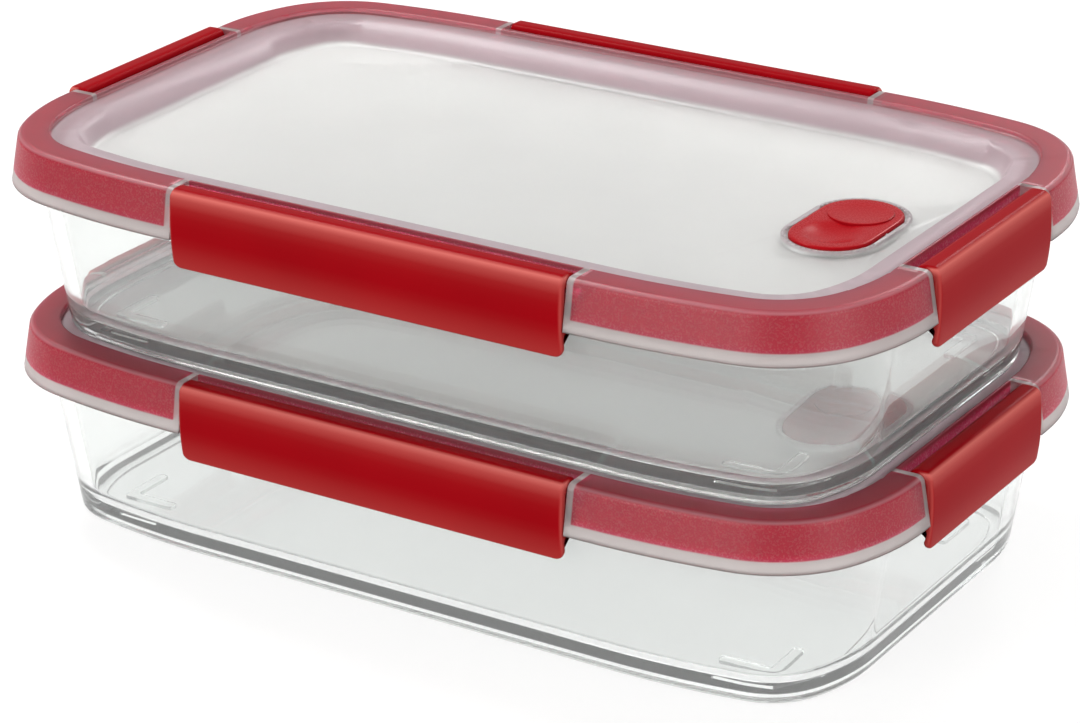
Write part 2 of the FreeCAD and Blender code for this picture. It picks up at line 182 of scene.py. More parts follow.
def rounded(corners: list[tuple[float, ...]], steps: int = 7, closed: bool = True) -> Section:
    """Draws a (u, z) section whose corners are rounded by their third value.

    Args:
        corners: (u, z) or (u, z, radius) points in millimetres.
        steps: Segments along each rounded corner.
        closed: Whether the last point joins the first.

    Returns:
        The points of the section in order.
    """
    drawn: Section = []
    count = len(corners)
    for k, corner in enumerate(corners):
        here = Vector(corner[:2])
        radius = corner[2] if len(corner) > 2 else 0.0
        if not radius or (not closed and k in (0, count - 1)):
            drawn.append((here.x, here.y))
            continue
        back = (Vector(corners[k - 1][:2]) - here).normalized()
        ahead = (Vector(corners[(k + 1) % count][:2]) - here).normalized()
        half = back.angle(ahead) / 2
        middle = (back + ahead).normalized()
        centre = here + middle * (radius / math.sin(half))
        reach = radius / math.tan(half)
        first = here + back * reach - centre
        last = here + ahead * reach - centre
        sweep = first.angle_signed(last)
        for step in range(steps + 1):
            turn = -sweep * step / steps
            arm = Matrix.Rotation(turn, 2) @ first
            drawn.append((centre.x + arm.x, centre.y + arm.y))
    return drawn


class Bench:
    """The modelling steps that every new piece shares, each made with Blender's own operators."""

    BORE_SIDES = 32
    SPINE_MERGE = 0.001
    NODE_MERGE = 0.004

    @staticmethod
    def clear() -> None:
        """Leaves edit mode and deselects everything."""
        if bpy.context.object and bpy.context.object.mode != "OBJECT":
            bpy.ops.object.mode_set(mode="OBJECT")
        bpy.ops.object.select_all(action="DESELECT")

    @staticmethod
    def pick(*pieces: Piece) -> None:
        """Selects the pieces alone and makes the first one active."""
        Bench.clear()
        for piece in pieces:
            piece.select_set(True)
        bpy.context.view_layer.objects.active = pieces[0]

    @staticmethod
    def drawn_out(name: str, loops: list[Points], closed: bool = False, spine: bool = False) -> Piece:
        """Models a skin by extruding one loop of edges from place to place.

        Args:
            name: Name of the piece.
            loops: Loops of points in metres, all of one length, in the order they are extruded.
            closed: Bridges the last loop to the first; otherwise both ends are filled.
            spine: Merges the last loop, which has shrunk to a line, instead of filling it.

        Returns:
            The piece, with its faces pointing outwards.
        """
        Bench.clear()
        bpy.ops.mesh.primitive_circle_add(vertices=len(loops[0]), radius=1.0, fill_type="NOTHING")
        piece = bpy.context.object
        piece.name = piece.data.name = name
        bpy.ops.object.mode_set(mode="EDIT")
        bpy.ops.mesh.select_mode(type="EDGE")
        bpy.ops.mesh.select_all(action="SELECT")
        shape = bmesh.from_edit_mesh(piece.data)
        place = shape.verts.layers.int.new("place")
        shape.verts.layers.int.new("row")
        shape.verts.ensure_lookup_table()
        for k, vert in enumerate(shape.verts):
            vert[place] = k
            vert.co = loops[0][k]
        for number, loop in enumerate(loops[1:], start=1):
            bpy.ops.mesh.extrude_region()
            shape = bmesh.from_edit_mesh(piece.data)
            place = shape.verts.layers.int["place"]
            row = shape.verts.layers.int["row"]
            for vert in shape.verts:
                if vert.select:
                    vert[row] = number
                    vert.co = loop[vert[place]]
        ends = [{0, len(loops) - 1}] if closed else [{0}, {len(loops) - 1}]
        if spine:
            ends = [{0}]
        for rows in ends:
            bpy.ops.mesh.select_all(action="DESELECT")
            shape = bmesh.from_edit_mesh(piece.data)
            row = shape.verts.layers.int["row"]
            for edge in shape.edges:
                first, last = edge.verts
                edge.select_set(first[row] == last[row] and first[row] in rows)
            bmesh.update_edit_mesh(piece.data)
            if closed:
                bpy.ops.mesh.bridge_edge_loops()
            else:
                bpy.ops.mesh.edge_face_add()
        bpy.ops.mesh.select_all(action="SELECT")
        if spine:
            bpy.ops.mesh.remove_doubles(threshold=Bench.SPINE_MERGE * MM)
        bpy.ops.mesh.normals_make_consistent(inside=False)
        bpy.ops.object.mode_set(mode="OBJECT")
        for layer in ("place", "row"):
            piece.data.attributes.remove(piece.data.attributes[layer])
        return piece

    @staticmethod
    def traced(name: str, node: str) -> Piece:
        """Copies a CAD node's mesh into a piece of its own and merges its loose triangles."""
        piece = bpy.data.objects.new(name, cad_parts[node].data.copy())
        bpy.context.scene.collection.objects.link(piece)
        piece.data.name = name
        Bench.pick(piece)
        bpy.ops.object.mode_set(mode="EDIT")
        bpy.ops.mesh.select_all(action="SELECT")
        bpy.ops.mesh.remove_doubles(threshold=Bench.NODE_MERGE * MM)
        bpy.ops.object.mode_set(mode="OBJECT")
        return piece

    @staticmethod
    def combine(piece: Piece, tool: Piece, how: str) -> None:
        """Adds a tool to a piece, or cuts it out, and removes the tool."""
        Bench.pick(piece)
        work = piece.modifiers.new("combine", "BOOLEAN")
        work.operation = how
        work.solver = "EXACT"
        work.object = tool
        bpy.ops.object.modifier_apply(modifier=work.name)
        bpy.data.objects.remove(tool)

    @staticmethod
    def bore(piece: Piece, pin: str, along: int, fit: float = 0.05) -> None:
        """Bores a piece right through for its pin.

        Args:
            piece: The piece that turns on the pin.
            pin: CAD node of the pin.
            along: Axis that the pin lies along, 0 for X and 1 for Y.
            fit: Room round the pin in millimetres.
        """
        low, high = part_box(pin)
        middle, radius = (low + high) / 2, (high.z - low.z) / 2 + fit * MM
        loops = []
        for end in (low[along], high[along]):
            loop = []
            for k in range(Bench.BORE_SIDES):
                turn = math.tau * k / Bench.BORE_SIDES
                spot = Vector((middle.x, middle.y, middle.z + radius * math.sin(turn)))
                spot[1 - along] += radius * math.cos(turn)
                spot[along] = end
                loop.append(spot)
            loops.append(loop)
        Bench.combine(piece, Bench.drawn_out("bore", loops), "DIFFERENCE")

    @staticmethod
    def smooth(piece: Piece, angle: float = 32.0) -> None:
        """Shades a piece smoothly up to an angle between faces, with flats kept flat."""
        Bench.pick(piece)
        bpy.ops.object.shade_smooth_by_angle(angle=math.radians(angle))
        even = piece.modifiers.new("flats", "WEIGHTED_NORMAL")
        even.keep_sharp = True
        even.weight = 100
        bpy.ops.object.modifier_apply(modifier=even.name)

    @staticmethod
    def fit(piece: Piece, body: str, node: str, finish: "Finish") -> None:
        """Puts a finished piece in the place of a CAD node, on its body, in its finish.

        Args:
            piece: The piece, placed in the shared frame.
            body: Body that the piece rides on.
            node: CAD node that the piece stands for.
            finish: Finish that the piece takes.
        """
        piece.data.materials.clear()
        piece.data.materials.append(finish.made())
        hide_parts(node)
        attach(piece, body)
        LOG.info("%s stands for %s on %s, %d faces", piece.name, node, body, len(piece.data.polygons))


@dataclass(frozen=True)
class Finish:
    """A surface finish: its material's name, its record slot and its typical values."""

    name: str
    slot: str
    colour: str
    roughness: float

    def made(self) -> bpy.types.Material:
        """Gives the finish's material, made once."""
        known = bpy.data.materials.get(self.name)
        return known or self.mixed()

    def mixed(self) -> bpy.types.Material:
        """Makes the material and lets the finish draw its own nodes."""
        material = bpy.data.materials.new(self.name)
        material.use_nodes = True
        tree = material.node_tree
        shader = tree.nodes["Principled BSDF"]
        shader.inputs["Base Color"].default_value = linear(self.colour)
        shader.inputs["Roughness"].default_value = self.roughness
        place = add_node(tree, "ShaderNodeTexCoord").outputs["Object"]
        self.draw(tree, shader, place)
        return material

    def uneven(self, tree: Tree, shader: Node, pattern: Socket, sheen: Pair) -> None:
        """Varies the roughness with a pattern, by the amounts given for its low and high ends."""
        spread = (self.roughness + sheen[0], self.roughness + sheen[1])
        tree.links.new(ramp(tree, pattern, (0.0, 1.0), spread), shader.inputs["Roughness"])

    def draw(self, tree: Tree, shader: Node, place: Socket) -> None:
        """Draws the finish's own pattern; the plain finish has none.

        Args:
            tree: Tree of the material.
            shader: The material's surface shader.
            place: Where a point lies in the shared frame, in metres.
        """


@dataclass(frozen=True)
class PressedGlass(Finish):
    """Borosilicate glass pressed in a mould: clear, with a slow waviness from the press."""

    wave: float = 22.0
    wave_height: float = 0.012
    wave_strength: float = 0.6
    clearness: float = 0.92
    ior: float = 1.47

    def draw(self, tree: Tree, shader: Node, place: Socket) -> None:
        """Makes the glass clear and lets its faces waver a little."""
        shader.inputs["IOR"].default_value = self.ior
        shader.inputs["Transmission Weight"].default_value = self.clearness
        emboss(tree, shader, noise(tree, place, self.wave, detail=1.0), self.wave_height, self.wave_strength)


@dataclass(frozen=True)
class FrostedLid(Finish):
    """Natural polypropylene, moulded with a spark-eroded grain; the red seal glows through its rim.

    Fades are pairs of depths under the lid's top edge, or of insets from its outline, in millimetres:
    where a colour starts and where it is full.
    """

    foot: float = 0.0
    # Painted reflection: the first fade places a dark line along the skirt's lower edge.
    dark_line_fade: Pair = (14.7, 14.3)
    skirt_fade: Pair = (11.35, 10.85)
    ledge_fade: Pair = (8.5, 7.2)
    crown_fade: Pair = (1.6, 0.1)
    # crest_below, crest_above, crest_inset and crest_share place and weigh a painted highlight line along
    # the skirt's rounded top edge.
    crest_below: Pair = (1.1, 0.6)
    crest_above: Pair = (0.1, 0.6)
    crest_inset: Pair = (1.5, 0.9)
    rim_inset: Pair = (9.0, 7.6)
    crest_share: float = 0.55
    long_cheek: float = 66.9
    long_side: float = 75.0
    short_cheek: float = 36.9
    short_side: float = 130.0
    cheek_fade: Pair = (1.2, 0.8)
    cloud: float = 28.0
    # The real grain is about 0.15 mm, too fine to show at this distance, so it is drawn coarser.
    grain: float = 0.6
    grain_crisp: float = 0.6
    grain_depth: float = 0.05
    grain_strength: float = 0.35
    spark_range: Pair = (0.5, 0.8)
    spark_share: float = 0.4
    clearness: float = 0.78
    gloss: float = 0.1
    ior: float = 1.49

    def draw(self, tree: Tree, shader: Node, place: Socket) -> None:
        """Tints the rim and skirt where the seal lies behind, paints a dark line as reflection along the
        skirt's lower edge and a highlight line along its top edge, and grains the surface.
        """
        axes = add_node(tree, "ShaderNodeSeparateXYZ", {0: place}).outputs
        inset = add_node(tree, "ShaderNodeAttribute", attribute_name="inset").outputs["Fac"]
        grain = noise(tree, place, self.grain, crisp=self.grain_crisp)
        # Painted reflection: a dark line along the skirt's lower edge, under the pale clear strip's own
        # colour.
        strip_and_dark_line = blend(tree, self.band(tree, axes["Z"], self.dark_line_fade), linear("#7F7A78"), linear("#D4CBC9"))
        backed = blend(tree, self.sealed(tree, axes), strip_and_dark_line, self.seal_red(tree, axes["Z"], inset, grain))
        milk = blend(tree, noise(tree, place, self.cloud), linear("#ECECEA"), linear("#F3F3F1"))
        blush = blend(tree, self.band(tree, axes["Z"], self.ledge_fade), milk, linear("#DCC8CE"))
        rim = ramp(tree, inset, metres(self.rim_inset), soft=True)
        tree.links.new(blend(tree, rim, blush, backed), shader.inputs["Base Color"])
        emboss(tree, shader, grain, self.grain_depth, self.grain_strength)
        shader.inputs["Transmission Weight"].default_value = self.clearness
        shader.inputs["Specular IOR Level"].default_value = self.gloss
        shader.inputs["IOR"].default_value = self.ior

    def band(self, tree: Tree, height: Socket, fade: Pair, soft: bool = False) -> Socket:
        """Ramps from 0 to 1 between two depths under the lid's top edge."""
        top = self.foot + LID_TOP
        return ramp(tree, height, metres((top - fade[0], top - fade[1])), soft=soft)

    def sealed(self, tree: Tree, axes: bpy.types.NodeOutputs) -> Socket:
        """Gives the share of seal that shows: the skirt above its clear strip, without the bare cheeks."""
        skirt = self.band(tree, axes["Z"], self.skirt_fade, soft=True)
        cheeks = []
        for along, away, cheek, far in (("X", "Y", self.long_cheek, self.long_side),
                                        ("Y", "X", self.short_cheek, self.short_side)):
            run = reckon(tree, "ABSOLUTE", axes[along])
            gap = reckon(tree, "ABSOLUTE", reckon(tree, "SUBTRACT", run, cheek * MM))
            near = ramp(tree, gap, metres(self.cheek_fade))
            outer = reckon(tree, "GREATER_THAN", reckon(tree, "ABSOLUTE", axes[away]), far * MM)
            cheeks.append(reckon(tree, "MULTIPLY", near, outer))
        return reckon(tree, "SUBTRACT", skirt, reckon(tree, "MAXIMUM", *cheeks), clamp=True)

    def seal_red(self, tree: Tree, height: Socket, inset: Socket, grain: Socket) -> Socket:
        """Draws the seal's red as it shows through: sparkling, deeper at the crown, with a painted highlight
        line along the crest.

        Args:
            tree: Tree of the material.
            height: Height of a point.
            inset: How far it lies inside the outline.
            grain: The surface's grain.

        Returns:
            The colour.
        """
        glint = ramp(tree, grain, self.spark_range, (0.0, self.spark_share))
        sparks = blend(tree, glint, linear("#C8143A"), linear("#EE8CA2"))
        red = blend(tree, self.band(tree, height, self.crown_fade, soft=True), sparks, linear("#B82A42"))
        # Painted highlight: a pale line along the skirt's rounded top edge, strongest at the outline.
        below, above = (self.band(tree, height, fade) for fade in (self.crest_below, self.crest_above))
        outer = ramp(tree, inset, metres(self.crest_inset), (0.0, self.crest_share))
        painted_highlight = reckon(tree, "MULTIPLY", reckon(tree, "MULTIPLY", below, above), outer)
        return blend(tree, painted_highlight, red, linear("#F2C4CA"))


@dataclass(frozen=True)
class MouldedRed(Finish):
    """Red polymer moulded with a fine satin texture: soft sheen, faint flow clouds, and a lighter colour
    painted as highlight where a piece carries a highlight share.
    """

    deep: str = "#78040B"
    # Colour of the painted highlight on the latches' crest and ends, and of the painted lighter shade toward
    # their toe.
    highlight_colour: str = "#B9635C"
    tint: str = "#FF8078"
    cloud: float = 35.0
    # The real satin is about 0.1 mm, too fine to show at this distance, so it is drawn coarser.
    texture: float = 0.5
    depth: float = 0.02
    strength: float = 0.3
    sheen: Pair = (-0.05, 0.07)
    ior: float = 1.5
    gloss: float = 0.022

    def draw(self, tree: Tree, shader: Node, place: Socket) -> None:
        """Clouds the red slightly, paints it lighter as a highlight where the piece's highlight share says,
        and gives it its satin texture.
        """
        tone = blend(tree, noise(tree, place, self.cloud), linear(self.deep), linear(self.colour))
        # Painted highlight: the share of lighter colour, set on the latches only.
        highlight_paint = add_node(tree, "ShaderNodeAttribute", attribute_name="highlight_paint").outputs["Fac"]
        fine = noise(tree, place, self.texture)
        tree.links.new(blend(tree, highlight_paint, tone, linear(self.highlight_colour)), shader.inputs["Base Color"])
        self.uneven(tree, shader, fine, self.sheen)
        emboss(tree, shader, fine, self.depth, self.strength)
        shader.inputs["IOR"].default_value = self.ior
        shader.inputs["Specular IOR Level"].default_value = self.gloss
        shader.inputs["Specular Tint"].default_value = linear(self.tint)


@dataclass(frozen=True)
class DrawnSteel(Finish):
    """Stainless steel wire, drawn through a die: bright, its sheen a little uneven."""

    # The real marks of the die are about 0.02 mm, too fine to show, so they are drawn coarser.
    marks: float = 0.4
    sheen: Pair = (-0.06, 0.08)

    def draw(self, tree: Tree, shader: Node, place: Socket) -> None:
        """Makes the wire metal and its sheen uneven."""
        shader.inputs["Metallic"].default_value = 1.0
        self.uneven(tree, shader, noise(tree, place, self.marks), self.sheen)


@dataclass(frozen=True)
class FloorPaper(Finish):
    """Matt white studio paper under the stack, lit through from below as on a light table."""

    glow: float = 0.8

    def draw(self, tree: Tree, shader: Node, place: Socket) -> None:
        """Lets the paper pass the light from below it."""
        shader.inputs["Emission Color"].default_value = linear("#FFFFFF")
        shader.inputs["Emission Strength"].default_value = self.glow


# Borosilicate glass: clear as water, with bright lines at its edges and a slight waver behind.
GLASS = PressedGlass("Borosilicate_pressed_glass", "clear_glass", "#FDFFFE", 0.0)
# Silicone: dull and even, a paler red than the latches.
SEAL = MouldedRed("Silicone_moulded_red", "seal_red", "#D02C3C", 0.5, deep="#C02232", ior=1.41)
# Polypropylene from a satin mould: a deep red with hardly any shine; its crest and ends carry a painted
# highlight and its toe a painted lighter shade.
LATCH = MouldedRed("Polypropylene_satin_red", "latch_red", "#86040D", 0.3)
# Silicone skin on a hard core: the same red with a broad soft highlight in the finger dish.
VENT = MouldedRed("Silicone_skinned_vent_red", "vent_red", "#960812", 0.26, deep="#88060F", gloss=0.09)
# Stainless wire: small hard glints in the latch notches.
STEEL = DrawnSteel("Stainless_wire", "pin_steel", "#C9CBCC", 0.28)
# Paper lit from below: an even pale ground whose light fills the glass.
PAPER = FloorPaper("Studio_paper", "", "#757473", 0.9)


@dataclass(frozen=True)
class Outline:
    """The boxes' plan outline at the lid's top edge: flat middles, bowed sides and tight corners.

    Offsets from it are called u, outwards positive, in millimetres.
    """

    half_length: float
    half_width: float
    corner: float = 34.0
    long_bend: float = 10.0
    short_bend: float = 24.0
    long_flat: float = 69.9
    short_flat: float = 39.9

    BOW_STEPS = 8
    CORNER_STEPS = 18

    def side_radii(self) -> Pair:
        """Gives the radii of the long and short bowed sides that join the flats to the corners."""
        bend_l, bend_s = math.radians(self.long_bend), math.radians(self.short_bend)
        run = self.half_length - self.long_flat - self.corner * (math.cos(bend_s) - math.sin(bend_l))
        rise = self.half_width - self.short_flat - self.corner * (math.cos(bend_l) - math.sin(bend_s))
        turn = Matrix(((math.sin(bend_l), 1 - math.cos(bend_s)),
                       (1 - math.cos(bend_l), math.sin(bend_s))))
        radii = turn.inverted() @ Vector((run, rise))
        return radii.x, radii.y

    def stations(self) -> Walk:
        """Walks once round the outline, counter-clockwise from the right side.

        Returns:
            Points of the outline, each with its outward direction.
        """
        long_radius, short_radius = self.side_radii()
        bend = math.radians(self.short_bend)
        reach = short_radius - self.corner
        side = Vector((self.half_length - short_radius, self.short_flat))
        knee = side + reach * Vector((math.cos(bend), math.sin(bend)))
        top = Vector((self.long_flat, self.half_width - long_radius))
        quarter: Walk = []
        arcs = ((side, short_radius, 0.0, self.short_bend, self.BOW_STEPS),
                (knee, self.corner, self.short_bend, 90 - self.long_bend, self.CORNER_STEPS),
                (top, long_radius, 90 - self.long_bend, 90.0, self.BOW_STEPS))
        for centre, radius, start, stop, steps in arcs:
            for step in range(steps + (stop == 90.0)):
                turn = math.radians(start + (stop - start) * step / steps)
                out = Vector((math.cos(turn), math.sin(turn)))
                quarter.append((centre + radius * out, out))
        mirrored = [(Vector((-p.x, p.y)), Vector((-n.x, n.y))) for p, n in reversed(quarter)]
        half = quarter + mirrored
        return half + [(-p, -n) for p, n in half]

    def loop(self, u: float, z: float) -> Points:
        """Gives the loop of points at offset u and height z, in metres."""
        return [Vector((p.x + u * n.x, p.y + u * n.y, z)) * MM for p, n in self.stations()]

    def inset(self, x: float, y: float, walk: Walk) -> float:
        """Gives how far a point lies inside the outline, in metres, by its nearest station."""
        spot = Vector((x, y)) / MM
        nearest = min(walk, key=lambda station: (station[0] - spot).length_squared)
        return (nearest[0] - spot).dot(nearest[1]) * MM


def read_outline(flare: float) -> Outline:
    """Reads the outline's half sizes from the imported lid.

    Args:
        flare: How far the lid's skirt stands outside its top edge, in millimetres.

    Returns:
        The outline.
    """
    low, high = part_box("lower_lid")
    half = (high - low) / 2 / MM
    return Outline(half.x - flare, half.y - flare)


@dataclass
class GlassDish:
    """One pressed glass dish with its heel, thick floor, rim and lip."""

    tier: Tier
    outline: Outline
    rim_z: float = 54.0
    foot_inset: float = 11.5
    shoulder_inset: float = 4.9
    shoulder_z: float = 44.03
    wall: float = 4.3
    floor: float = 4.6
    heel_radius: float = 2.2
    heel_width: float = 6.5
    recess: float = 1.2
    lip_inset: float = 1.4
    lip_z: float = 48.2
    lip_land: float = 0.6
    rim_inset: float = 2.4
    rim_width: float = 4.5
    inner_round: float = 7.0
    shoulder_round: float = 5.0
    rim_round: float = 1.0
    rim_fillet: float = 4.0
    lip_rounds: Triple = (0.5, 0.25, 0.4)
    heel_rounds: Pair = (0.3, 0.5)
    heel_slope: float = 0.4
    heel_lead: float = 1.0
    floor_lead: float = 2.0
    floor_run: float = 6.0
    rib_width: float = 3.2
    rib_arm: float = 18.0
    rib_inset: float = 31.0
    rib_bite: float = 0.6
    rib_foot: tuple[Pair, ...] = ((0.0625, 0.0), (0.0175, 0.07), (0.0, 0.25))

    def section(self) -> Section:
        """Draws the wall from under the floor, round the heel, up, over the rim and down inside.

        Returns:
            The section's points.
        """
        slope = (self.foot_inset - self.shoulder_inset) / self.shoulder_z
        inner_foot = -self.foot_inset + slope * self.floor - self.wall
        heel_inner = -self.foot_inset - self.heel_radius - self.heel_width
        rim_inner = -self.rim_inset - self.rim_width
        land_z = self.lip_z + self.lip_land
        return rounded([
            (heel_inner - self.floor_run, self.recess),
            (heel_inner - self.heel_lead, self.recess),
            (heel_inner - self.heel_slope, self.recess, self.heel_rounds[0]),
            (heel_inner, 0.0, self.heel_rounds[1]),
            (-self.foot_inset, 0.0, self.heel_radius),
            (-self.shoulder_inset, self.shoulder_z, self.shoulder_round),
            (-self.lip_inset, self.lip_z, self.lip_rounds[0]),
            (-self.lip_inset, land_z, self.lip_rounds[1]),
            (-self.rim_inset, land_z + self.rim_inset - self.lip_inset, self.lip_rounds[2]),
            (-self.rim_inset, self.rim_z, self.rim_round),
            (rim_inner, self.rim_z, self.rim_round),
            (rim_inner, self.lip_z, self.rim_fillet),
            (-self.shoulder_inset - self.wall, self.shoulder_z, self.shoulder_round),
            (inner_foot, self.floor, self.inner_round),
            (inner_foot - self.inner_round - self.floor_lead, self.floor),
            (inner_foot - self.inner_round - self.floor_run, self.floor),
        ], closed=False)

    def build(self) -> Piece:
        """Models the dish and its floor ribs.

        Returns:
            The dish.
        """
        foot = self.tier.foot
        loops = [self.outline.loop(u, foot + z) for u, z in self.section()]
        dish = Bench.drawn_out(f"{self.tier.value}_glass_dish", loops)
        Bench.combine(dish, self.ribs(foot), "UNION")
        Bench.smooth(dish, angle=40.0)
        return dish

    def ribs(self, foot: float) -> Piece:
        """Models the four L-shaped ribs under the floor as one tool.

        Args:
            foot: Height of the dish's foot in millimetres.

        Returns:
            The ribs.
        """
        arm, width = self.rib_arm, self.rib_width
        corner = rounded([
            (0, 0, width / 2), (-arm, 0, width / 3), (-arm, -width, width / 3),
            (-width, -width, width / 4), (-width, -arm, width / 3), (0, -arm, width / 3)], steps=5)
        reach_x = self.outline.half_length - self.rib_inset
        reach_y = self.outline.half_width - self.rib_inset
        made = []
        for sx, sy in ((1, 1), (-1, 1), (-1, -1), (1, -1)):
            loops = []
            for lean, z in (*self.rib_foot, (0.0, self.recess + self.rib_bite)):
                loops.append([Vector((sx * (reach_x + u + lean), sy * (reach_y + v), foot + z)) * MM
                              for u, v in corner])
            made.append(Bench.drawn_out(f"{self.tier.value}_rib", loops))
        Bench.pick(*made)
        bpy.ops.object.join()
        return made[0]

    def dress(self) -> None:
        """Builds the dish and puts it in place of its node."""
        Bench.fit(self.build(), f"{self.tier.value}_dish", f"{self.tier.value}_dish", GLASS)


@dataclass
class Lid:
    """One frosted lid, traced from its node, with its seal and its vent's pin and plug."""

    tier: Tier
    outline: Outline

    def build(self) -> Piece:
        """Traces the lid and notes how far each point lies inside the outline.

        Returns:
            The lid.
        """
        lid = Bench.traced(f"{self.tier.value}_frosted_lid", f"{self.tier.value}_lid")
        Bench.smooth(lid)
        walk = self.outline.stations()
        inset = lid.data.attributes.new("inset", "FLOAT", "POINT")
        for vert, note in zip(lid.data.vertices, inset.data):
            note.value = self.outline.inset(vert.co.x, vert.co.y, walk)
        return lid

    def dress(self) -> None:
        """Builds the lid and its seal and gives the vent's inner nodes their finishes."""
        word = self.tier.value
        # Natural polypropylene: milky and soft to the eye, with the seal's red showing through at the rim.
        finish = FrostedLid(f"Polypropylene_frosted_{word}", "frosted_lid", "#E2E2E0", 0.42,
                            foot=self.tier.foot)
        Bench.fit(self.build(), f"{word}_lid", f"{word}_lid", finish)
        seal = Bench.traced(f"{word}_rim_seal", f"{word}_seal")
        Bench.smooth(seal)
        Bench.fit(seal, f"{word}_lid", f"{word}_seal", SEAL)
        keep_node(f"{word}_vent_pin", STEEL)
        keep_node(f"{word}_vent_plug", SEAL)


def keep_node(node: str, finish: Finish) -> None:
    """Leaves a CAD node showing and gives it a finish."""
    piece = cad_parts[node]
    piece.data.materials.clear()
    piece.data.materials.append(finish.made())
    LOG.info("%s keeps its shape", node)


@dataclass(frozen=True)
class Wear:
    """Where a latch is painted lighter: a painted highlight along the crest and ends and a painted lighter
    shade toward the toe; places and fades in millimetres, and the most each place takes.
    """

    face_from: float = 0.8
    front_from: float = 2.0
    crest_line: float = 0.7
    crest_fade: float = 1.7
    crest_rise: float = 0.35
    crest_most: float = 0.9
    end_line: float = 0.3
    end_fade: float = 0.7
    end_most: float = 0.3
    toe_fade: float = 9.0
    toe_most: float = 0.16


